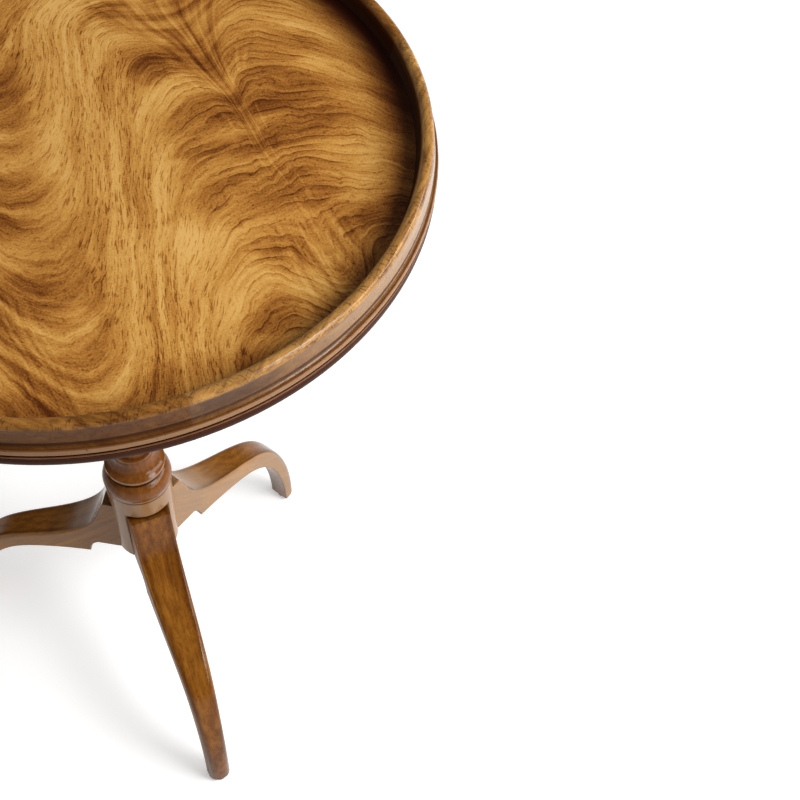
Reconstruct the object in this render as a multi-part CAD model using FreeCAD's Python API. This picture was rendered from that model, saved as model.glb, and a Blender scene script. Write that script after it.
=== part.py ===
import FreeCAD, Part
import math
import os
from FreeCAD import Vector

# Tray top tea table: a round tray on a turned column with three cabriole legs.
# Millimetres, +Z up. The origin is on the floor, on the column's axis. One leg points to -Y.

# Overall sizes
table_height = 720.0
top_diameter = 540.0
foot_reach = 201.5
leg_count = 3
front_leg_angle = -90.0

# Fits and cuts
joint_gap = 0.3
cut_overrun = 1.0

# Top: heights counted down from the crest of the rim
rim_height = 24.0
tray_depth = 18.8
edge_height = 16.4
top_veneer_thickness = 0.9
under_veneer_thickness = 0.6
veneer_cover = 5.2

# Rim: a hollow inner wall, a half-round lip, an upright face and a cove
rim_segments = 4
rim_joint_angle = -88.5
rim_foot_set_back = 2.0
face_set_back = 2.6
lip_set_back = 3.7
lip_thickness = 9.8
lip_inner_drop = 4.2
lip_outer_drop = 4.5
wall_flare = 3.7
wall_hollow = 0.8
face_height = 13.2
face_hollow = 0.4
quirk_depth = 1.8
quirk_drop = 0.7
cove_hollow = 1.1
cove_fillet = 0.6

# Edge moulding: a broad bead, two grooves with a thin bead between them, and a lower bead
edge_joint_offset = 45.0
bead_height = 5.2
bead_bulge = 0.8
groove_width = 1.5
groove_depth = 1.5
thin_bead_height = 2.2
thin_bead_set_back = 0.9
lower_bead_set_back = 1.3
lower_bead_bulge = 0.5
tongue_depth = 6.0
tongue_thickness = 6.0
tongue_drop = 4.0

# Column: the hub, a ring, a recess, a collar and a cove, a vase-shaped shaft, an upper ring and a cap under the block
hub_bottom = 160.0
hub_height = 97.6
hub_bottom_radius = 29.6
hub_top_radius = 31.2
hub_bottom_chamfer = 1.5
quirk_step = 0.8
ring_fillet_radius = 31.5
ring_fillet_height = 2.6
ring_radius = 32.2
ring_height = 17.4
ring_swell_share = 0.45
ring_top_radius = 25.4
recess_radius = 24.6
recess_height = 7.0
collar_radius = 28.2
collar_height = 2.4
cove_height = 18.6
cove_depth = 3.4
neck_fillet_radius = 18.8
neck_fillet_height = 2.8
neck_radius = 14.8
neck_height = 14.0
vase_radius = 25.0
vase_height_share = 0.26
shaft_taper_share = 0.62
shaft_middle_share = 0.7
upper_neck_radius = 14.2
upper_ring_radius = 20.0
upper_ring_height = 11.0
cap_radius = 27.0
cap_height = 7.0
cap_cove_height = 24.0
tenon_radius = 17.0

# Block, bearers and wedge under the top
block_side = 150.0
block_thickness = 30.0
block_chamfer = 8.0
bearer_length = 380.0
bearer_width = 36.0
bearer_thickness = 20.0
bearer_gap = 26.0
bearer_taper_length = 58.0
bearer_end_thickness = 8.0
wedge_length = 31.0
wedge_depth = 22.0
wedge_top = 3.2
wedge_tip = 0.9

# Legs: the crown runs from the spur to the toe, in shares of that run and of the spur's height
# The belly runs from the cusp to the heel, in shares of the run from cusp to toe and of the cusp's height
leg_thickness = 40.0
leg_knee_thickness = 31.0
leg_knee_share = 0.64
toe_thickness = 19.0
toe_length = 15.0
spur_top = 231.3
spur_radius = 33.2
spur_clearance = 4.0
arch_length = 23.5
cusp_radius = 55.0
cusp_height = 142.5
cusp_width = 3.0
arch_rise_share = 0.68
crown_shares = [(0.039, 0.925), (0.072, 0.863), (0.130, 0.804), (0.230, 0.744), (0.344, 0.699), (0.510, 0.648),
                (0.653, 0.601), (0.750, 0.554), (0.825, 0.489), (0.896, 0.390), (0.954, 0.269), (0.987, 0.148)]
belly_shares = [(0.143, 0.975), (0.335, 0.933), (0.543, 0.853), (0.686, 0.733), (0.782, 0.575), (0.846, 0.393),
                (0.885, 0.196)]
spur_arris_radius = 1.0
toe_arris_radius = 8.5
belly_arris_radius = 1.6
sole_arris_radius = 2.0
dovetail_length = 58.0
dovetail_depth = 11.0
dovetail_neck = 14.0
dovetail_width = 19.0

# Strap under the hub, and glides under the feet
strap_thickness = 2.0
strap_hub_radius = 17.0
strap_arm_width = 15.0
strap_end_margin = 3.3
strap_hole_inset = 9.0
glide_thickness = 2.5
glide_radius = 6.5
glide_nail_radius = 1.2
glide_nail_length = 12.0

# Wood screws with countersunk heads
screw_radius = 2.0
screw_head_radius = 4.2
screw_head_height = 2.4
screw_bite = 12.0
bearer_screw_share = 0.29
block_screw_share = 0.34
strap_screw_length = 16.0
strap_screw_head_radius = 3.4
strap_screw_head_height = 1.5

# Values that follow from the sizes above
top_radius = top_diameter / 2
tray_floor = table_height - tray_depth
rim_seat = table_height - rim_height
underside = rim_seat - edge_height
core_bottom = underside + under_veneer_thickness
core_top = tray_floor - top_veneer_thickness
rim_foot_radius = top_radius - lip_set_back - lip_thickness - wall_flare
core_radius = rim_foot_radius + veneer_cover
edge_inner_radius = core_radius + joint_gap
block_bottom = underside - block_thickness
hub_top = hub_bottom + hub_height
flat_distance = math.sqrt(hub_bottom_radius ** 2 - (leg_thickness / 2) ** 2)
hub_widest_radius = max(hub_bottom_radius, hub_top_radius)
arch_radius = flat_distance + arch_length
strap_arm_end = arch_radius - strap_end_margin
strap_hole_radius = strap_arm_end - strap_hole_inset
foot_middle = foot_reach - toe_length / 2
leg_angles = [front_leg_angle + step * 360 / leg_count for step in range(leg_count)]

axis_point = Vector(0, 0, 0)
axis_up = Vector(0, 0, 1)


def at(point):
    """A point of an outline in the plane through the axis, given as (radius, height)."""
    return Vector(point[0], 0, point[1])


def line(start, end):
    return Part.LineSegment(at(start), at(end)).toShape()


def arc(start, middle, end):
    return Part.Arc(at(start), at(middle), at(end)).toShape()


def curve(points):
    spline = Part.BSplineCurve()
    spline.interpolate([at(point) for point in points])
    return spline.toShape()


def bowed(start, end, out):
    """An arc between two points whose middle lies a given distance to the right of the way from start to end."""
    run = end[0] - start[0]
    rise = end[1] - start[1]
    length = math.hypot(run, rise)
    middle = ((start[0] + end[0]) / 2 + out * rise / length, (start[1] + end[1]) / 2 - out * run / length)
    return arc(start, middle, end)


def face(edges):
    return Part.Face(Part.Wire(edges))


def turned(edges, start_angle=0, sweep=360):
    solid = face(edges).revolve(axis_point, axis_up, sweep)
    solid.rotate(axis_point, axis_up, start_angle)
    return solid


def cylinder(radius, bottom, top, x=0, y=0):
    return Part.makeCylinder(radius, top - bottom, Vector(x, y, bottom))


def box(x_range, y_range, z_range):
    corner = Vector(x_range[0], y_range[0], z_range[0])
    return Part.makeBox(x_range[1] - x_range[0], y_range[1] - y_range[0], z_range[1] - z_range[0], corner)


def prism(points, direction):
    return Part.Face(Part.makePolygon(points + points[:1])).extrude(direction)


def turn(solid, angle):
    turned_solid = solid.copy()
    turned_solid.rotate(axis_point, axis_up, angle)
    return turned_solid


def screw(x, y, head_face, tip, head_radius, head_height, gap=0):
    """A screw driven upward, or with a gap the hole that it sits in."""
    reach = head_radius + gap
    head = Part.makeCone(reach, screw_radius + gap, head_height, Vector(x, y, head_face))
    mouth = cylinder(reach, head_face - gap, head_face, x, y) if gap else None
    shank = cylinder(screw_radius + gap, head_face + head_height, tip + gap, x, y)
    solid = head.fuse(shank)
    return solid.fuse(mouth) if mouth else solid


def cut_all(solid, tools):
    return solid.cut(Part.makeCompound(tools))


def save(name, shape):
    shape.exportStep("parts/" + name + ".step")


# Rim and edge mouldings, as sections in the plane through the axis
def rim_section():
    foot = (rim_foot_radius, tray_floor)
    lip_outer_radius = top_radius - lip_set_back
    lip_in = (lip_outer_radius - lip_thickness, table_height - lip_inner_drop)
    crest = (lip_outer_radius - lip_thickness / 2, table_height)
    lip_out = (lip_outer_radius, table_height - lip_outer_drop)
    face_foot = (top_radius - face_set_back, lip_out[1] - face_height)
    quirk = (face_foot[0] - quirk_depth, face_foot[1] - quirk_drop)
    cove_foot = (top_radius - rim_foot_set_back, rim_seat + cove_fillet)
    seat_out = (cove_foot[0], rim_seat)
    seat_in = (edge_inner_radius, rim_seat)
    rebate = (edge_inner_radius, tray_floor)
    return [bowed(foot, lip_in, wall_hollow), arc(lip_in, crest, lip_out), bowed(lip_out, face_foot, face_hollow),
            line(face_foot, quirk), bowed(quirk, cove_foot, cove_hollow), line(cove_foot, seat_out),
            line(seat_out, seat_in), line(seat_in, rebate), line(rebate, foot)]


def edge_section():
    side = top_radius - bead_bulge
    bead_foot = rim_seat - bead_height
    groove_foot = bead_foot - groove_width
    thin_side = top_radius - thin_bead_set_back
    thin_foot = groove_foot - thin_bead_height
    lower_groove_foot = thin_foot - groove_width
    lower_side = top_radius - lower_bead_set_back
    groove_in = side - groove_depth
    tongue_top = rim_seat - tongue_drop
    tongue_foot = tongue_top - tongue_thickness
    tongue_in = edge_inner_radius - tongue_depth
    middle = groove_width / 2
    return [line((edge_inner_radius, rim_seat), (side, rim_seat)),
            bowed((side, rim_seat), (side, bead_foot), -bead_bulge),
            line((side, bead_foot), (groove_in, bead_foot - middle)),
            line((groove_in, bead_foot - middle), (thin_side, groove_foot)),
            bowed((thin_side, groove_foot), (thin_side, thin_foot), -lower_bead_bulge),
            line((thin_side, thin_foot), (groove_in, thin_foot - middle)),
            line((groove_in, thin_foot - middle), (lower_side, lower_groove_foot)),
            bowed((lower_side, lower_groove_foot), (lower_side, underside), -lower_bead_bulge),
            line((lower_side, underside), (edge_inner_radius, underside)),
            line((edge_inner_radius, underside), (edge_inner_radius, tongue_foot)),
            line((edge_inner_radius, tongue_foot), (tongue_in, tongue_foot)),
            line((tongue_in, tongue_foot), (tongue_in, tongue_top)),
            line((tongue_in, tongue_top), (edge_inner_radius, tongue_top)),
            line((edge_inner_radius, tongue_top), (edge_inner_radius, rim_seat))]


def ring_of_segments(name, section, first_angle):
    sweep = 360 / rim_segments
    for number in range(rim_segments):
        save(name + "_" + str(number + 1), turned(section(), first_angle + number * sweep, sweep))


# Screws of the bearers, the block and the strap
def bearer_middle(side):
    return side * (block_side / 2 + bearer_gap + bearer_width / 2)


def bearer_screws(gap=0):
    head_face = underside - bearer_thickness
    screws = []
    for side in (-1, 1):
        for step in (-1, 0, 1):
            y = step * bearer_screw_share * bearer_length
            screws.append(screw(bearer_middle(side), y, head_face, underside + screw_bite,
                                screw_head_radius, screw_head_height, gap))
    return screws


def block_screws(gap=0):
    offset = block_screw_share * block_side
    return [screw(x * offset, y * offset, block_bottom, underside + screw_bite,
                  screw_head_radius, screw_head_height, gap) for x in (-1, 1) for y in (-1, 1)]


def strap_screws(gap=0):
    head_face = hub_bottom - strap_thickness
    tip = head_face + strap_screw_length
    places = [(0, 0)]
    for angle in leg_angles:
        places.append((strap_hole_radius * math.cos(math.radians(angle)),
                       strap_hole_radius * math.sin(math.radians(angle))))
    return [screw(x, y, head_face, tip, strap_screw_head_radius, strap_screw_head_height, gap) for x, y in places]


# Top: core, veneers, block and bearers
def core():
    tongue_top = rim_seat - tongue_drop
    tongue_foot = tongue_top - tongue_thickness
    groove = cylinder(core_radius + cut_overrun, tongue_foot, tongue_top)
    groove = groove.cut(cylinder(edge_inner_radius - tongue_depth - joint_gap, tongue_foot, tongue_top))
    board = cylinder(core_radius, core_bottom, core_top)
    return cut_all(board, [groove] + bearer_screws(joint_gap) + block_screws(joint_gap))


def block():
    half = block_side / 2
    solid = box((-half, half), (-half, half), (block_bottom, underside))
    lower_edges = [edge for edge in solid.Edges if edge.BoundBox.ZMax < underside - block_chamfer]
    solid = solid.makeChamfer(block_chamfer, lower_edges)
    hole = cylinder(tenon_radius + joint_gap, block_bottom - cut_overrun, underside + cut_overrun)
    return cut_all(solid, [hole] + block_screws(joint_gap))


def bearer(side):
    middle = bearer_middle(side)
    start = middle - bearer_width / 2
    half = bearer_length / 2
    flat_half = half - bearer_taper_length
    end_foot = underside - bearer_end_thickness
    foot = underside - bearer_thickness
    outline = [(-half, underside), (half, underside), (half, end_foot), (flat_half, foot), (-flat_half, foot),
               (-half, end_foot)]
    solid = prism([Vector(start, y, z) for y, z in outline], Vector(bearer_width, 0, 0))
    return cut_all(solid, bearer_screws(joint_gap))


def wedge(length):
    """The wedge in the tenon's kerf, flush with the tenon's top."""
    top = underside - joint_gap
    points = [Vector(-length / 2, y, z) for y, z in ((-wedge_top / 2, top), (wedge_top / 2, top),
              (wedge_tip / 2, top - wedge_depth), (-wedge_tip / 2, top - wedge_depth))]
    return prism(points, Vector(length, 0, 0))


# Column: one turning, with flats and dovetail sockets cut for the legs
def column_outline():
    fillet_foot = hub_top + quirk_step
    ring_foot = fillet_foot + ring_fillet_height
    ring_top = ring_foot + ring_height
    collar_foot = ring_top + recess_height
    collar_top = collar_foot + collar_height
    cove_top = collar_top + cove_height
    neck_foot = cove_top + neck_fillet_height
    cap_foot = block_bottom - cap_height
    upper_ring_top = cap_foot - cap_cove_height
    upper_ring_foot = upper_ring_top - upper_ring_height
    shaft_length = upper_ring_foot - neck_foot
    ring_middle = (ring_radius, ring_foot + ring_swell_share * ring_height)
    upper_middle = (upper_ring_radius, (upper_ring_foot + upper_ring_top) / 2)
    shaft = [(neck_radius + quirk_step, neck_foot), (neck_radius, neck_foot + neck_height),
             (vase_radius, neck_foot + vase_height_share * shaft_length),
             (shaft_middle_share * vase_radius, neck_foot + shaft_taper_share * shaft_length),
             (upper_neck_radius, upper_ring_foot)]
    corners = [(0, hub_bottom), (hub_bottom_radius - hub_bottom_chamfer, hub_bottom),
               (hub_bottom_radius, hub_bottom + hub_bottom_chamfer), (hub_top_radius, hub_top),
               (hub_top_radius - quirk_step, fillet_foot), (ring_fillet_radius, fillet_foot),
               (ring_fillet_radius, ring_foot)]
    edges = [line(start, end) for start, end in zip(corners, corners[1:])]
    edges.append(arc((ring_fillet_radius, ring_foot), ring_middle, (ring_top_radius, ring_top)))
    steps = [(ring_top_radius, ring_top), (recess_radius, ring_top), (recess_radius, collar_foot),
             (collar_radius, collar_foot), (collar_radius, collar_top)]
    edges += [line(start, end) for start, end in zip(steps, steps[1:])]
    edges.append(bowed((collar_radius, collar_top), (neck_fillet_radius, cove_top), -cove_depth))
    edges.append(line((neck_fillet_radius, cove_top), (neck_fillet_radius, neck_foot)))
    edges.append(line((neck_fillet_radius, neck_foot), shaft[0]))
    edges.append(curve(shaft))
    edges.append(arc((upper_neck_radius, upper_ring_foot), upper_middle, (upper_neck_radius, upper_ring_top)))
    edges.append(bowed((upper_neck_radius, upper_ring_top), (cap_radius, cap_foot), -cove_depth))
    tenon_top = underside - joint_gap
    finish = [(cap_radius, cap_foot), (cap_radius, block_bottom), (tenon_radius, block_bottom),
              (tenon_radius, tenon_top), (0, tenon_top), (0, hub_bottom)]
    return edges + [line(start, end) for start, end in zip(finish, finish[1:])]


def dovetail(gap=0):
    """The tongue behind a leg's shoulder, or with a gap the socket that it slides up into."""
    shoulder = flat_distance + gap
    back = flat_distance - dovetail_depth - gap
    foot = hub_bottom - gap
    neck_half = dovetail_neck / 2 + gap
    back_half = dovetail_width / 2 + gap
    outline = [(shoulder, neck_half), (back, back_half), (back, -back_half), (shoulder, -neck_half)]
    return prism([Vector(x, y, foot) for x, y in outline], Vector(0, 0, dovetail_length + 2 * gap))


def column():
    outer = hub_widest_radius + cut_overrun
    flat = box((flat_distance, outer), (-outer, outer), (hub_bottom - cut_overrun, spur_top + spur_clearance))
    cuts = [wedge(2 * tenon_radius + cut_overrun)] + strap_screws(joint_gap)
    for angle in leg_angles:
        cuts += [turn(flat, angle), turn(dovetail(joint_gap), angle)]
    return cut_all(turned(column_outline()), cuts)


# Legs: an outline through the leg's middle, cut to the plan's taper, with rounded arrises
def leg_outline():
    def spread(shares, start):
        run = foot_reach - start[0]
        return [(start[0] + run_share * run, height_share * start[1]) for run_share, height_share in shares]
    spur = (spur_radius, spur_top)
    toe = (foot_reach, glide_thickness)
    heel = (foot_reach - toe_length, glide_thickness)
    arch_end = (arch_radius, hub_bottom)
    cusp = (cusp_radius, cusp_height)
    cusp_out = (cusp_radius + cusp_width, cusp_height - cusp_width / 2)
    arch_middle = (arch_end[0] + arch_rise_share * (cusp[0] - arch_end[0]),
                   cusp[1] + arch_rise_share * (arch_end[1] - cusp[1]))
    back = [spur, (flat_distance, spur_top), (flat_distance, hub_bottom), arch_end]
    edges = [line(start, end) for start, end in zip(back, back[1:])]
    edges += [arc(arch_end, arch_middle, cusp), line(cusp, cusp_out)]
    edges += [curve([cusp_out] + spread(belly_shares, cusp) + [heel]), line(heel, toe)]
    return edges + [curve([toe] + spread(reversed(crown_shares), spur) + [spur])]


def plan_taper():
    knee = foot_reach * leg_knee_share

    def side(sign):
        ends = ((0, leg_thickness), (knee, leg_knee_thickness), (foot_reach + cut_overrun, toe_thickness))
        return [Vector(x, sign * thickness / 2, 0) for x, thickness in ends]
    left = side(1)
    right = side(-1)
    edges = [Part.Arc(*left).toShape(), Part.LineSegment(left[2], right[2]).toShape(), Part.Arc(*right).toShape(),
             Part.LineSegment(right[0], left[0]).toShape()]
    return Part.Face(Part.Wire(Part.__sortEdges__(edges))).extrude(Vector(0, 0, spur_top + cut_overrun))


def long_edges(solid, highest):
    """The edges that run along the leg and stay under a height."""
    return [edge for edge in solid.Edges if edge.BoundBox.XLength > foot_reach / 2 and edge.BoundBox.ZMax < highest]


def leg(glide_nail):
    half = leg_thickness / 2 + cut_overrun
    slab = face(leg_outline()).extrude(Vector(0, 2 * half, 0))
    slab.translate(Vector(0, -half, 0))
    solid = slab.common(plan_taper()).Solids[0]
    crown = [edge for edge in long_edges(solid, spur_top + cut_overrun) if edge.BoundBox.ZMax > hub_bottom]
    solid = solid.makeFillet(spur_arris_radius, toe_arris_radius, crown)
    solid = solid.makeFillet(belly_arris_radius, long_edges(solid, hub_bottom))
    sole = [edge for edge in solid.Edges if edge.BoundBox.ZMax < glide_thickness + joint_gap]
    solid = solid.makeFillet(sole_arris_radius, sole)
    solid = solid.fuse(dovetail()).removeSplitter()
    return cut_all(solid, [glide_nail])


# Glides and strap
def glide(gap=0):
    """A disc with a nail that is driven up into the foot, or with a gap the nail's hole."""
    nail_top = glide_thickness + glide_nail_length + gap
    nail = cylinder(glide_nail_radius + gap, glide_thickness - gap, nail_top, foot_middle)
    return nail if gap else cylinder(glide_radius, 0, glide_thickness, foot_middle).fuse(nail)


def strap():
    bottom = hub_bottom - strap_thickness
    plate = cylinder(strap_hub_radius, bottom, hub_bottom)
    straight_end = strap_arm_end - strap_arm_width / 2
    half = strap_arm_width / 2
    for angle in leg_angles:
        arm = box((0, straight_end), (-half, half), (bottom, hub_bottom))
        arm = arm.fuse(cylinder(half, bottom, hub_bottom, straight_end))
        plate = plate.fuse(turn(arm, angle))
    return cut_all(plate.removeSplitter(), strap_screws(joint_gap))


os.makedirs("parts", exist_ok=True)
ring_of_segments("rim_segment", rim_section, rim_joint_angle)
ring_of_segments("edge_moulding", edge_section, rim_joint_angle + edge_joint_offset)
save("top_core", core())
save("top_veneer", cylinder(core_radius, core_top, tray_floor))
under_veneer = cylinder(core_radius, underside, core_bottom)
save("under_veneer", cut_all(under_veneer, bearer_screws(joint_gap) + block_screws(joint_gap)))
save("top_block", block())
save("bearer_left", bearer(-1))
save("bearer_right", bearer(1))
save("tenon_wedge", wedge(wedge_length))
save("column", column())
strap_holes = strap_screws(joint_gap)
for name, angle in zip(("leg_front", "leg_right", "leg_left"), leg_angles):
    save(name, cut_all(turn(leg(glide(joint_gap)), angle), strap_holes))
for number, angle in enumerate(leg_angles):
    save("foot_glide_" + str(number + 1), turn(glide(), angle))
save("spider_plate", strap())
save("bearer_screws", Part.makeCompound(bearer_screws()))
save("block_screws", Part.makeCompound(block_screws()))
save("spider_screws", Part.makeCompound(strap_screws()))
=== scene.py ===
import math

import bpy
from mathutils import Matrix, Vector


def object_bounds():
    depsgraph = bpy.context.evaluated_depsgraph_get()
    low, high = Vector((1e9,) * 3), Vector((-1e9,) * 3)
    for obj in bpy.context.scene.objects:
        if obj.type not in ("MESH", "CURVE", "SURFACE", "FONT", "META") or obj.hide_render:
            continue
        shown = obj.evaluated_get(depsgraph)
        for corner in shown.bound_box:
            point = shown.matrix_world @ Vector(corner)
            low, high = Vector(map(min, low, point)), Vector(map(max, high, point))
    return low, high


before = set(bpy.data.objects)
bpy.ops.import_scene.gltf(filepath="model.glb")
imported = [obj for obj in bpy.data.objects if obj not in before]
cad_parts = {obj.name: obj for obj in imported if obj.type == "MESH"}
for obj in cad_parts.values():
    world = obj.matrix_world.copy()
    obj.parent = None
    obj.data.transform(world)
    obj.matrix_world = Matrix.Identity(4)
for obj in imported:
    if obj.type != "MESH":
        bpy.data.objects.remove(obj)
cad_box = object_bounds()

# Looks of a tray top tea table: polished mahogany with a flame veneer in the tray.
# Places are metres in the table's frame. Inside a material, lengths are millimetres.

# Camera at the photograph's viewpoint
camera_place = Vector((-0.1209, -0.9331, 1.6474))
camera_down = math.radians(51.56)
camera_right = math.radians(20.92)
camera_lens = 79.3
sensor_width = 36.0
camera_shift = (0.035, -0.10)

# Lamps: a soft one to the right of the camera, and a long low strip further round
key_azimuth = math.radians(-42.0)
key_height = math.radians(45.0)
key_distance = 2.6
key_size = (0.8, 0.8)
key_power = 30.0
strip_azimuth = math.radians(-28.0)
strip_height = math.radians(27.0)
strip_distance = 2.4
strip_size = (3.0, 0.6)
strip_power = 47.0

# Surround: a pale light from all sides, which gloss sees as white, with a dark ceiling
surround_strength = 0.3
ceiling_share = 0.06
ceiling_rise = (0.02, 0.28)

# Floor: its glow makes it white in the lamps' light, and a stronger one where they don't reach
floor_size = 8.0
floor_roughness = 0.9
floor_glow = 0.36
floor_far = (1.0, 2.1)

# Sizes of the frame, in the materials' millimetres, and azimuths of its joints in degrees
millimetres_per_metre = 1000.0
crest_height = cad_box[1].z * millimetres_per_metre
lip_inner_radius = 257.0
lip_softness = 1.5
first_joint = -88.5
segment_span = 90.0
hub_quirk_height = 258.0
hub_quirk_half_width = 0.9
recess_height = 281.9
recess_reach = (4.4, 3.2)
edge_heights = [259.7, 286.6]
edge_half_width = 1.2
leg_half_thickness = 20.0
leg_taper = 0.052
leg_lean = math.radians(42.0)

# Distances from the axis over which a leg's parts set in
leg_hub_end = (120, 50)
leg_shoulder = (80, 50)
leg_foot_end = (130, 240)

# Bands of the rim's profile as drops below its crest: start, full, ebb and end of each
face_drops = (4.0, 7.5, 16.0, 18.0)
cove_drops = (17.2, 18.0, 21.6, 23.0)
bead_drops = (24.0, 24.8, 28.4, 29.4)

# Drops over which the lip and the shaded base set in, and drops of the grooves
lip_drops = (6.0, 4.0)
shaded_base_drops = (34.2, 35.0)
groove_drops = [18.0, 30.0, 33.7]
groove_half_width = 0.8

# A dark smudge on the rim's face near each joint, as a place along the arc from a segment's middle
smudge_arc = -182.0

# Flame figure: a plume stands on a leaning spine, and the grain sways up beside it
spine_x = 123
spine_lean = 0.13
plume_foot = -25
plume_foot_width = 5
plume_spread = 0.0016
plume_depth = 2.6
plume_sharpness = 0.8
sway_x = 20
sway_width = 36
sway_height = 162
lower_dip_depth = 50
lower_dip_spread = 900
right_arch_height = 8
right_arch_width = 50
right_arch_power = 2.8
left_swirl_x = -30
left_swirl_bend = 0.018
left_spine_x = -102
left_spine_lean = 0.14
ring_spacing = 9
drift_length = 90
drift_reach = 16
scallop_depth = 10
ripple_depth = 14
heart_x = 132
heart_y = -5
# Radii over which the veneer darkens towards the rim with patina and painted shade
patina_and_shade_radii = (217, 249)

# Blots of the flame figure: place in x and y, half width and half height
dark_blots = [(66, 136, 22, 16), (122, 124, 44, 26), (78, 62, 20, 14), (112, 90, 16, 30), (124, 56, 12, 26),
              (164, 46, 34, 24), (150, 2, 48, 22), (98, -6, 30, 18), (90, -34, 22, 10), (158, -44, 44, 22),
              (96, -92, 44, 22), (136, -92, 44, 24), (176, -140, 14, 8), (114, -150, 23, 20),
              (84, -206, 20, 14), (-66, -40, 44, 28), (-62, -128, 46, 22), (-84, -200, 64, 46),
              (-20, -230, 60, 14), (-26, -140, 9, 40), (-36, 90, 16, 80)]
light_blots = [(180, -62, 14, 16), (194, -100, 24, 22), (172, 88, 28, 10), (76, 34, 24, 8), (60, 104, 18, 10),
               (60, -150, 30, 45), (150, -158, 26, 18), (186, -126, 22, 22), (120, -196, 30, 12),
               (-70, -92, 18, 16), (-72, -170, 18, 12), (30, -60, 30, 90), (25, 120, 30, 60)]

# Finish of the surfaces: tone, roughness and gloss for the shader, and relief for the bump
veneer_tone = 0.685
veneer_roughness = 0.5
veneer_gloss = 0.14
veneer_relief = 0.03
polish_roughness = 0.14
polish_relief = 0.012
edge_gloss = 0.05
metal_share = 0.8
crevice_samples = 6

# Sockets of a Mix node for colours, whose names its sockets for numbers share
mix_first = 6
mix_second = 7
mix_result = 2


def srgb(red, green, blue):
    """A colour written as it shows on a screen, from 0 to 255, as the linear colour that shaders take."""
    def linear(part):
        share = part / 255
        return share / 12.92 if share <= 0.04045 else ((share + 0.055) / 1.055) ** 2.4
    return (linear(red), linear(green), linear(blue), 1.0)


white = srgb(255, 255, 255)
floor_white = srgb(244, 244, 244)
soot_and_shade = srgb(44, 14, 3)
patina_and_shade_brown = srgb(52, 16, 3)
pale_wear_and_sheen = srgb(192, 156, 114)
rust = srgb(70, 40, 24)
scuffed = srgb(60, 48, 38)
strap_iron = srgb(46, 42, 40)
screw_steel = srgb(120, 112, 102)
glide_plastic = srgb(44, 34, 26)

# Woods as three colours: dark, middle and light. The veneer has five, from dark to light.
dark_orange = (srgb(46, 20, 6), srgb(86, 46, 13), srgb(168, 114, 52))
gold_brown = (srgb(56, 28, 8), srgb(102, 60, 24), srgb(190, 140, 74))
red_brown = (srgb(54, 26, 12), srgb(114, 70, 42), srgb(160, 112, 76))
leg_brown = (srgb(64, 28, 4), srgb(126, 74, 20), srgb(168, 110, 38))
column_brown = (srgb(58, 28, 8), srgb(116, 66, 24), srgb(160, 102, 46))
plain_brown = (srgb(70, 40, 20), srgb(112, 72, 40), srgb(140, 98, 60))
board_brown = (srgb(140, 104, 66), srgb(172, 134, 90), srgb(196, 160, 114))
veneer_gold = (srgb(78, 32, 4), srgb(132, 74, 22), srgb(182, 118, 47), srgb(214, 156, 74),
               srgb(234, 186, 108))


class Field:
    """A number or colour that varies over a surface. Arithmetic on it adds nodes to its material."""

    def __init__(self, tree, socket):
        self.tree = tree
        self.socket = socket

    def __add__(self, other):
        return compute(self.tree, "ADD", self, other)

    def __sub__(self, other):
        return compute(self.tree, "SUBTRACT", self, other)

    def __rsub__(self, other):
        return compute(self.tree, "SUBTRACT", other, self)

    def __mul__(self, other):
        return compute(self.tree, "MULTIPLY", self, other)

    def __truediv__(self, other):
        return compute(self.tree, "DIVIDE", self, other)

    def __pow__(self, other):
        return compute(self.tree, "POWER", self, other)

    def __abs__(self):
        return compute(self.tree, "ABSOLUTE", self)

    __radd__ = __add__
    __rmul__ = __mul__

    def tanh(self):
        return compute(self.tree, "TANH", self)

    def fraction(self):
        return compute(self.tree, "FRACT", self)

    def larger(self, other):
        return compute(self.tree, "MAXIMUM", self, other)

    def fade(self):
        """1 where the number is 0, falling by about two thirds with each step of 1."""
        kept_share = 0.37
        return compute(self.tree, "POWER", kept_share, self)

    def rise(self, low, high):
        """Smooth from 0 at the low limit to 1 at the high one. It falls where the low limit is the larger."""
        node = self.tree.nodes.new("ShaderNodeMapRange")
        node.interpolation_type = "SMOOTHSTEP"
        for name, value in (("Value", self), ("From Min", low), ("From Max", high)):
            connect(self.tree, value, node.inputs[name])
        return Field(self.tree, node.outputs["Result"])

    def band(self, start, full, ebb, end):
        """1 between the two inner limits and 0 outside the outer ones, smooth between."""
        return self.rise(start, full) * self.rise(end, ebb)


def connect(tree, value, socket):
    """Feeds a socket from a field, or sets it to a plain value."""
    if isinstance(value, Field):
        tree.links.new(value.socket, socket)
    else:
        socket.default_value = value


def compute(tree, operation, *values):
    """The result of a Math node on fields or plain numbers."""
    node = tree.nodes.new("ShaderNodeMath")
    node.operation = operation
    for socket, value in zip(node.inputs, values):
        connect(tree, value, socket)
    return Field(tree, node.outputs[0])


def largest(*fields):
    """The largest of some fields at each point."""
    total = fields[0]
    for field in fields[1:]:
        total = total.larger(field)
    return total


def coordinates(tree, kind):
    """The parts x, y and z of one kind of texture coordinates."""
    place = tree.nodes.new("ShaderNodeTexCoord")
    parts = tree.nodes.new("ShaderNodeSeparateXYZ")
    tree.links.new(place.outputs[kind], parts.inputs[0])
    return [Field(tree, output) for output in parts.outputs]


def from_axis(x, y):
    """Distance from the upright axis."""
    return compute(x.tree, "SQRT", x * x + y * y)


def noise(x, y, z, detail=2.0):
    """Smooth noise, mostly from 0.25 to 0.75 about 0.5, at a point of three coordinates."""
    tree = x.tree
    point = tree.nodes.new("ShaderNodeCombineXYZ")
    for socket, value in zip(point.inputs, (x, y, z)):
        connect(tree, value, socket)
    node = tree.nodes.new("ShaderNodeTexNoise")
    tree.links.new(point.outputs[0], node.inputs["Vector"])
    node.inputs["Scale"].default_value = 1.0
    node.inputs["Detail"].default_value = detail
    return Field(tree, node.outputs["Fac"])


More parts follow.
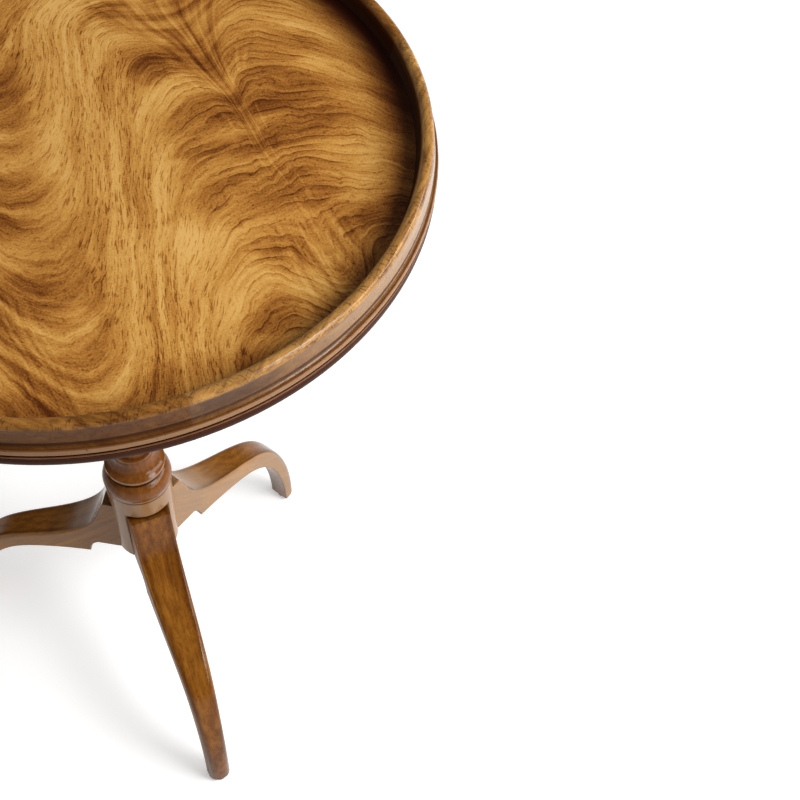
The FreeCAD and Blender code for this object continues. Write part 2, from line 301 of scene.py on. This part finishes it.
def waver(x, y, z, detail=2.0):
    """Smooth noise about 0."""
    return noise(x, y, z, detail) - 0.5


def ramp(field, stops):
    """A colour for each value of a field, from stops of (value, colour)."""
    node = field.tree.nodes.new("ShaderNodeValToRGB")
    node.color_ramp.interpolation = "B_SPLINE"
    elements = node.color_ramp.elements
    while len(elements) < len(stops):
        elements.new(1.0)
    for element, (position, colour) in zip(elements, stops):
        element.position = position
        element.color = colour
    connect(field.tree, field, node.inputs["Fac"])
    return Field(field.tree, node.outputs["Color"])


def blend(factor, first, second):
    """The first colour where the factor is 0, and the second where it is 1."""
    node = factor.tree.nodes.new("ShaderNodeMix")
    node.data_type = "RGBA"
    connect(factor.tree, factor, node.inputs["Factor"])
    connect(factor.tree, first, node.inputs[mix_first])
    connect(factor.tree, second, node.inputs[mix_second])
    return Field(factor.tree, node.outputs[mix_result])


class Surface:
    """A material under construction, with the place on the object in millimetres as x, y and z."""

    def __init__(self, name, azimuth=0.0):
        """Turns the place so that its x points to an azimuth in degrees."""
        self.material = bpy.data.materials.new(name)
        self.material.use_nodes = True
        self.tree = self.material.node_tree
        self.shader = self.tree.nodes["Principled BSDF"]
        x, y, z = (part * millimetres_per_metre for part in coordinates(self.tree, "Object"))
        turn = math.radians(azimuth)
        self.radius = from_axis(x, y)
        self.x = x * math.cos(turn) + y * math.sin(turn)
        self.y = y * math.cos(turn) - x * math.sin(turn)
        self.z = z

    def crevices(self, reach):
        """1 deep in a corner or groove, 0 on an open face."""
        node = self.tree.nodes.new("ShaderNodeAmbientOcclusion")
        node.samples = crevice_samples
        node.inputs["Distance"].default_value = reach / millimetres_per_metre
        return 1.0 - Field(self.tree, node.outputs["AO"])

    def finish(self, colour, roughness, height, relief, gloss=0.5):
        """Wires up colour, gloss and a bump whose height field spans a relief in millimetres."""
        connect(self.tree, colour, self.shader.inputs["Base Color"])
        connect(self.tree, roughness, self.shader.inputs["Roughness"])
        self.shader.inputs["Specular IOR Level"].default_value = gloss
        bump = self.tree.nodes.new("ShaderNodeBump")
        bump.inputs["Distance"].default_value = relief / millimetres_per_metre
        connect(self.tree, height, bump.inputs["Height"])
        self.tree.links.new(bump.outputs["Normal"], self.shader.inputs["Normal"])
        return self.material


def blots(places, x, y):
    """1 inside some ovals, 0 outside them."""
    ovals = []
    for centre_x, centre_y, half_width, half_height in places:
        across = (x - centre_x) / half_width
        upward = (y - centre_y) / half_height
        ovals.append((across * across + upward * upward).rise(2.0, 0.1))
    return largest(*ovals)


def lines(place, places, half_width):
    """1 on narrow lines at some places along a coordinate, 0 beside them."""
    return largest(*(abs(place - middle).rise(half_width * 1.5, half_width * 0.7) for middle in places))


def flame_grain(x, y):
    """Places across the spine and the plume, how steep the grain is, and the height that it follows."""
    spine = x - (spine_x - spine_lean * y)
    fan_height = (y - plume_foot).larger(0.0)
    fan_width = plume_foot_width + plume_spread * fan_height * fan_height
    plume = spine / fan_width
    plume_dip = plume_depth * fan_width * (plume * plume * plume_sharpness).fade() * y.rise(-80, 20)
    lower_dip = lower_dip_depth * (spine * spine / lower_dip_spread).fade() * y.rise(-110, -190)
    left_swirl = (left_swirl_x - x).larger(0.0)
    left_rise = left_swirl_bend * left_swirl * left_swirl
    right_arch = right_arch_height * (spine.larger(0.0) / right_arch_width) ** right_arch_power
    sway = ((x - sway_x) / sway_width).tanh()
    steep = 1 - sway * sway
    scallops = abs(waver(x / 14, y / 28, 3.1, 0.0)) * scallop_depth * steep.rise(0.6, 0.1)
    ripple = waver(x / 30, y / 30, 5.5, 0.0) * ripple_depth
    height = y - sway_height * sway + plume_dip + lower_dip - left_rise + right_arch - scallops + ripple
    return spine, plume, steep, height


def flame_veneer():
    """Flame veneer of the tray's floor."""
    surface = Surface("flame_veneer")
    x = surface.x + waver(surface.x / drift_length, surface.y / drift_length, 1.7, 1.0) * drift_reach
    y = surface.y + waver(surface.x / drift_length, surface.y / drift_length, 9.2, 1.0) * drift_reach
    spine, plume, steep, grain = flame_grain(x, y)
    in_plume = abs(plume).rise(1.3, 0.8) * y.rise(-90, -20)
    level = steep.rise(0.45, 0.1) * (1 - in_plume)

    def streaks(width, length, seed, detail=1.0):
        return noise(grain / width, x / length, y / length + seed, detail)

    def by_slope(on_level, on_steep):
        return on_level * level + on_steep * (1 - level) - 0.5

    # Broad figure: bands, patches, swirls on the left, and blots with ragged edges
    bands = streaks(width=30, length=120, seed=2.2) - 0.5
    patches = streaks(width=60, length=70, seed=6.4) - 0.5
    swirls = (streaks(width=17, length=90, seed=5.1) - 0.5) * x.rise(5, -45)
    edge_x = surface.x + waver(x / 18, y / 10, 4.1) * 26
    edge_y = surface.y + waver(x / 18, y / 10, 7.3) * 18
    dark = blots(dark_blots, edge_x, edge_y)
    light = blots(light_blots, edge_x, edge_y)
    left_shade = x.rise(0, -60)
    heart = abs(x - heart_x).rise(85, 40) * abs(y - heart_y).rise(150, 70)

    # Growth rings, and rays in the plume, below it and along a second spine on the left
    rings = (grain / ring_spacing + 0.8 * streaks(width=40, length=80, seed=4.4)).fraction()
    ring_strength = streaks(width=14, length=40, seed=8.3).rise(0.3, 0.6) * level * x.band(45, 75, 180, 250)
    ring_lines = (0.8 * rings ** 6 + 0.35 * rings) * ring_strength
    rays = (noise(plume * 7, y / 90, 3.3, 3.0) - 0.56) * in_plume
    in_bright_rays = abs(plume).rise(3.5, 2.0) * y.rise(-140, -90)
    bright_rays = noise(plume * 1.6 + 3, y / 45, 7.7, 1.0).rise(0.56, 0.7) * in_bright_rays
    in_lower_rays = abs(spine + 4).rise(48, 12) * y.rise(-105, -150)
    lower_rays = waver(spine / 4, y / 60, 5.8) * in_lower_rays
    left_spine = x - (left_spine_x - left_spine_lean * y)
    in_left_rays = abs(left_spine + 4).rise(26, 8) * y.rise(-90, -140)
    left_rays = waver(left_spine / 3.5, y / 60, 2.6) * in_left_rays

    # Fine grain: fibres, strands, pores that grow larger where the grain is steep, and a silky speckle
    fibres = by_slope(streaks(width=2.2, length=26, seed=1.1), streaks(width=7, length=40, seed=3.1))
    level_strands = streaks(width=4.5, length=45, seed=9.3, detail=2.0) * 0.7 + 0.15
    strands = by_slope(level_strands, streaks(width=13, length=60, seed=9.3, detail=2.0))
    level_pores = streaks(width=2.0, length=4, seed=7.7).rise(0.56, 0.70) * level
    middle_pores = streaks(width=2.4, length=9, seed=2.9).rise(0.55, 0.66) * steep.band(0.1, 0.45, 0.5, 0.8)
    steep_pores = streaks(width=4.4, length=9, seed=5.9).rise(0.55, 0.66) * steep.rise(0.5, 0.8)
    pores = level_pores * 0.5 + middle_pores + steep_pores
    silk = waver(surface.x * 0.7, surface.y * 0.7, 6.1, 1.0)

    # Darker towards the rim: patina all round, and painted shade of the rim, most on the right and at the
    # back
    patina_and_shade_share = 0.32 + 0.33 * surface.x.rise(60, 190) + 0.35 * surface.y.rise(-160, 10)
    patina_and_shade = surface.radius.rise(*patina_and_shade_radii) * patina_and_shade_share

    # Each feature lightens or darkens the wood by its strength
    features = [(patina_and_shade, -0.45), (heart, -0.04), (bands, 0.75), (patches, 0.4), (dark, -0.21), (light, 0.08),
                (ring_lines, -0.36), (rays, 1.2), (bright_rays, 0.13), (lower_rays, 0.9), (left_rays, 0.8),
                (swirls, 1.15), (left_shade, -0.05), (strands, 0.5), (fibres, 0.36), (pores, -0.33),
                (silk, 0.42)]
    tone = veneer_tone
    for feature, strength in features:
        tone = tone + feature * strength
    last = len(veneer_gold) - 1
    colour = ramp(tone, [(place / last, shade) for place, shade in enumerate(veneer_gold)])
    # Patina and painted shade blend the veneer towards a dark red-brown
    colour = blend(patina_and_shade * patina_and_shade, colour, patina_and_shade_brown)
    height = 0.5 - pores * 0.5 + fibres * 0.3
    return surface.finish(colour, veneer_roughness + fibres * 0.2, height, veneer_relief, veneer_gloss)


def mahogany(surface, run, tones, seed, shift=0.0, stain=None, wear_and_sheen=None, reach=6.0, figure=1.0,
             gloss=0.3, dull=0.0):
    """Solid wood with straight grain, pores, and grime and painted shade in its corners.

    Run is the place along the grain and two places across it. Shift lightens the wood, stain darkens it with
    stains and painted shade, and wear and a painted sheen fade it. Reach is how far the grime and painted
    shade spread, figure is the grain's contrast, and dull adds roughness.
    """
    along, across, depth = run
    across = across + waver(along / 70, across / 40, seed, 1.0) * 14

    def grain(width, length, detail=2.0):
        return noise(across / width, along / length, depth / width + seed, detail)

    streaks = grain(width=4.5, length=160) - 0.5
    fibres = grain(width=1.25, length=30) - 0.5
    pores = grain(width=10 / 7, length=4, detail=1.0).rise(0.58, 0.66)
    mottle = waver(along / 45, across / 26, depth / 26 + seed, 1.0)
    tone = 0.5 + (streaks * 0.8 + fibres * 0.35 + mottle * 0.5 - pores * 0.12) * figure + shift
    colour = ramp(tone, list(zip((0.05, 0.5, 0.95), tones)))
    # Wear and painted sheen pale the wood towards a faded tan
    if wear_and_sheen is not None:
        colour = blend(wear_and_sheen, colour, pale_wear_and_sheen)
    # Grime and painted shade: darker where the wood is occluded, in corners, grooves and gaps
    grime_and_shade = surface.crevices(reach).rise(0.25, 0.65) * 0.92
    if stain is not None:
        grime_and_shade = grime_and_shade.larger(stain)
    colour = blend(grime_and_shade, colour, soot_and_shade)
    roughness = polish_roughness + mottle * 0.08 + grime_and_shade * 0.25 + dull
    height = 0.6 + fibres * 0.3 - pores * 0.4
    return surface.finish(colour, roughness, height, polish_relief, gloss)


def rim_wood(name, azimuth, tones, seed, gloss, fade=0.0):
    """Wood of the rim and the edge moulding, its grain square to an azimuth. Fade lightens the face with a
    painted reflection.
    """
    surface = Surface(name, azimuth)
    drop = crest_height - surface.z
    lip = drop.rise(*lip_drops)
    face = drop.band(*face_drops)
    cove = drop.band(*cove_drops)
    bead = drop.band(*bead_drops)
    shaded_base = drop.rise(*shaded_base_drops)
    grooves = lines(drop, groove_drops, groove_half_width)
    shaded_inner_wall = surface.radius.rise(lip_inner_radius + lip_softness, lip_inner_radius - lip_softness)
    arc = compute(surface.tree, "ARCTAN2", surface.y, surface.x) * surface.radius
    fleck_patches = noise(arc / 22, surface.radius / 30, seed + 5).rise(0.42, 0.58)
    flecks = noise(arc / 1.5, surface.radius / 5, seed, 1.0).rise(0.54, 0.66) * fleck_patches * lip
    specks = noise(arc / 2.0, surface.radius / 2.0, surface.z / 2.0 + seed, 1.0).rise(0.67, 0.74)
    knots = noise(arc / 16, surface.radius / 9, surface.z / 9 + seed).rise(0.58, 0.72) * lip
    ragged = waver(arc / 14, surface.z / 10, seed) * 60
    smudge = abs(arc - smudge_arc + ragged).rise(60, 12) * face
    # Painted shade darkens the inner wall and the underside, grime and painted shade the grooves and the cove
    stain = largest(shaded_inner_wall * 0.95, grooves, shaded_base * 0.85, cove * 0.6, smudge * 0.6, flecks * 0.6,
                    specks * 0.55, knots * 0.4)
    # Pale wear on the bead, and a painted reflection paling the face towards the right of its segment
    wear_and_sheen = (bead * 0.4).larger(face * arc.rise(-160, -60) * fade)
    run = (surface.y, surface.x, surface.z)
    return mahogany(surface, run, tones, seed, lip * 0.28, stain, wear_and_sheen, figure=0.45 + lip * 0.85, gloss=gloss,
                    dull=cove * 0.4)


def leg_wood(name, azimuth, seed, fade, gloss):
    """Wood of the leg that points to an azimuth. Fade lightens its sides and its end at the hub with a
    painted sheen.
    """
    surface = Surface(name, azimuth)
    along = surface.x * math.cos(leg_lean) - surface.z * math.sin(leg_lean)
    depth = surface.x * math.sin(leg_lean) + surface.z * math.cos(leg_lean)
    specks = noise(along / 3, surface.y / 2.4, depth / 2.4 + seed, 1.0).rise(0.68, 0.75)
    off_middle = abs(surface.y) / (leg_half_thickness - surface.x * leg_taper)
    arris = off_middle.rise(0.55, 1.0)
    side = off_middle.rise(0.95, 1.0)
    # Specks, and darker towards the top face's arrises
    stain = (specks * 0.35).larger(arris * (1 - side) * 0.4)
    # Painted sheen: the sides and the end at the hub are paled
    wear_and_sheen = surface.x.rise(*leg_hub_end).larger(side) * fade
    shift = 0.06 - surface.x.rise(*leg_foot_end) * 0.2 - surface.x.rise(*leg_shoulder) * 0.12
    run = (along, surface.y, depth)
    return mahogany(surface, run, leg_brown, seed, shift, stain, wear_and_sheen, reach=12.0, gloss=gloss,
                    dull=side * 0.4 - arris * 0.14)


def column_wood():
    """Wood of the column and its hub, with painted shade in a quirk and a recess, a painted sheen on the hub,
    and rubbed edges.
    """
    surface = Surface("column_wood")
    # Painted shade in the quirk at the hub's top and in the recess under the collar
    recess = abs(surface.z - recess_height).rise(*recess_reach)
    stain = lines(surface.z, [hub_quirk_height], hub_quirk_half_width).larger(recess * 0.9) * 0.9
    # Rubbed edges, and a painted sheen paling the hub
    edges = lines(surface.z, edge_heights, edge_half_width)
    hub = surface.z.rise(hub_quirk_height, hub_quirk_height - 2)
    wear_and_sheen = (edges * 0.35).larger(hub * 0.4)
    run = (surface.z, surface.x, surface.y)
    return mahogany(surface, run, column_brown, 5.0, 0.0, stain, wear_and_sheen, reach=10.0, figure=0.6, gloss=0.2)


def level_wood(name, tones, seed):
    """Plain wood of a level board."""
    surface = Surface(name)
    return mahogany(surface, (surface.y, surface.x, surface.z), tones, seed)


def metal(name, colour, grit, roughness):
    """Rough metal with a grit in millimetres and some rust."""
    surface = Surface(name)
    cast = noise(surface.x / grit, surface.y / grit, surface.z / grit, 4.0)
    stain = noise(surface.x / 14, surface.y / 14, surface.z / 14, 3.0)
    surface.shader.inputs["Metallic"].default_value = metal_share
    tint = blend(stain.rise(0.52, 0.75) * 0.7, colour, rust)
    return surface.finish(tint, roughness + (stain - 0.5) * 0.3, cast, relief=0.08)


def moulded_plastic(name, colour):
    """Grained plastic with scuffs."""
    surface = Surface(name)
    grain = noise(surface.x * 2, surface.y * 2, surface.z * 2, 3.0)
    scuff = noise(surface.x / 4, surface.y / 4, surface.z / 4, 2.0)
    tint = blend(scuff.rise(0.4, 0.7) * 0.4, colour, scuffed)
    return surface.finish(tint, 0.5 + (scuff - 0.5) * 0.2, grain, relief=0.03)


def paint(material, *nodes):
    """Gives some CAD nodes a material."""
    for node in nodes:
        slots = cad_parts[node].data.materials
        slots.clear()
        slots.append(material)


# Tray and rim: tones, gloss and fade, a painted reflection on the face, alternate, and the edge moulding's
# joints lie between the rim's
paint(flame_veneer(), "top_veneer")
rim_finishes = [(gold_brown, 0.27, 0.34), (dark_orange, 0.15, 0.0)] * 2
for number, (tones, gloss, fade) in enumerate(rim_finishes, start=1):
    rim_azimuth = first_joint + segment_span * (number - 0.5)
    edge_azimuth = first_joint + segment_span * number
    rim = rim_wood("rim_wood_%d" % number, rim_azimuth, tones, 3.0 * number, gloss, fade)
    edge = rim_wood("edge_wood_%d" % number, edge_azimuth, red_brown, 4.0 * number, edge_gloss)
    paint(rim, "rim_segment_%d" % number)
    paint(edge, "edge_moulding_%d" % number)

# Legs: side, azimuth, fade, which paints a pale sheen, and gloss
leg_finishes = [("front", -90, 0.0, 0.22), ("right", 30, 0.42, 0.5), ("left", 150, 0.2, 0.2)]
for number, (side, azimuth, fade, gloss) in enumerate(leg_finishes, start=1):
    paint(leg_wood("leg_wood_" + side, azimuth, 11.0 * number, fade, gloss), "leg_" + side)

# Column, underside and fittings
paint(column_wood(), "column")
paint(level_wood("bearer_wood", plain_brown, 8.0), "top_block", "bearer_left", "bearer_right")
paint(level_wood("backing_veneer", plain_brown, 15.0), "under_veneer")
paint(level_wood("core_board", board_brown, 21.0), "top_core")
paint(level_wood("wedge_wood", board_brown, 27.0), "tenon_wedge")
paint(metal("strap_iron", strap_iron, grit=1.2, roughness=0.6), "spider_plate")
paint(metal("screw_steel", screw_steel, grit=3.0, roughness=0.42),
      "bearer_screws", "block_screws", "spider_screws")
paint(moulded_plastic("glide_plastic", glide_plastic), "foot_glide_1", "foot_glide_2", "foot_glide_3")


def ray_kinds(tree):
    """1 for rays straight from the camera, and 1 for those that gloss or glass sends on."""
    path = tree.nodes.new("ShaderNodeLightPath")
    kinds = ("Is Camera Ray", "Is Glossy Ray", "Is Transmission Ray")
    camera, glossy, through = (Field(tree, path.outputs[kind]) for kind in kinds)
    return camera, glossy.larger(through)


def add_floor():
    """A pale floor, white to the eye and to gloss, that keeps the object's shadow."""
    bpy.ops.mesh.primitive_plane_add(size=floor_size)
    floor = bpy.context.object
    floor.name = "floor"
    material = bpy.data.materials.new("floor")
    material.use_nodes = True
    tree = material.node_tree
    shader = tree.nodes["Principled BSDF"]
    shader.inputs["Base Color"].default_value = floor_white
    shader.inputs["Roughness"].default_value = floor_roughness
    shader.inputs["Emission Color"].default_value = white
    camera, gloss = ray_kinds(tree)
    x, y, _ = coordinates(tree, "Object")
    far = from_axis(x, y).rise(*floor_far)
    glow = camera.larger(gloss) * floor_glow + camera * far * (1.0 - floor_glow)
    connect(tree, glow, shader.inputs["Emission Strength"])
    floor.data.materials.append(material)


def add_surround():
    """A world that is white to the eye, and to gloss white below and dark above."""
    world = bpy.data.worlds.new("surround")
    bpy.context.scene.world = world
    world.use_nodes = True
    tree = world.node_tree
    background = tree.nodes["Background"]
    _, _, upward = coordinates(tree, "Generated")
    reflected = 1.0 - upward.rise(*ceiling_rise) * (1.0 - ceiling_share)
    camera, gloss = ray_kinds(tree)
    seen = camera * (1.0 - surround_strength)
    mirrored = gloss * (reflected - surround_strength)
    strength = surround_strength + seen + mirrored
    connect(tree, strength, background.inputs["Strength"])
    background.inputs["Color"].default_value = white


def add_lamp(name, azimuth, height, distance, size, power):
    """An area lamp that faces the middle of the object."""
    target = Vector((0, 0, cad_box[1].z / 2))
    sideways = math.cos(height)
    direction = Vector((math.cos(azimuth) * sideways, math.sin(azimuth) * sideways, math.sin(height)))
    lamp = bpy.data.lights.new(name, "AREA")
    lamp.shape = "RECTANGLE"
    lamp.size, lamp.size_y = size
    lamp.energy = power
    holder = bpy.data.objects.new(name, lamp)
    holder.location = target + direction * distance
    holder.rotation_euler = (-direction).to_track_quat("-Z", "Y").to_euler()
    holder.visible_camera = False
    bpy.context.scene.collection.objects.link(holder)


def add_camera():
    """The camera, turned right and tilted down from a level view along y."""
    camera = bpy.data.cameras.new("camera")
    camera.lens = camera_lens
    camera.sensor_width = sensor_width
    camera.shift_x, camera.shift_y = camera_shift
    holder = bpy.data.objects.new("camera", camera)
    turn = Matrix.Rotation(-camera_right, 4, "Z") @ Matrix.Rotation(math.pi / 2 - camera_down, 4, "X")
    holder.matrix_world = Matrix.Translation(camera_place) @ turn
    bpy.context.scene.collection.objects.link(holder)
    bpy.context.scene.camera = holder


add_floor()
add_surround()
add_lamp("key", key_azimuth, key_height, key_distance, key_size, key_power)
add_lamp("strip", strip_azimuth, strip_height, strip_distance, strip_size, strip_power)
add_camera()
bpy.context.scene.view_settings.view_transform = "Standard"
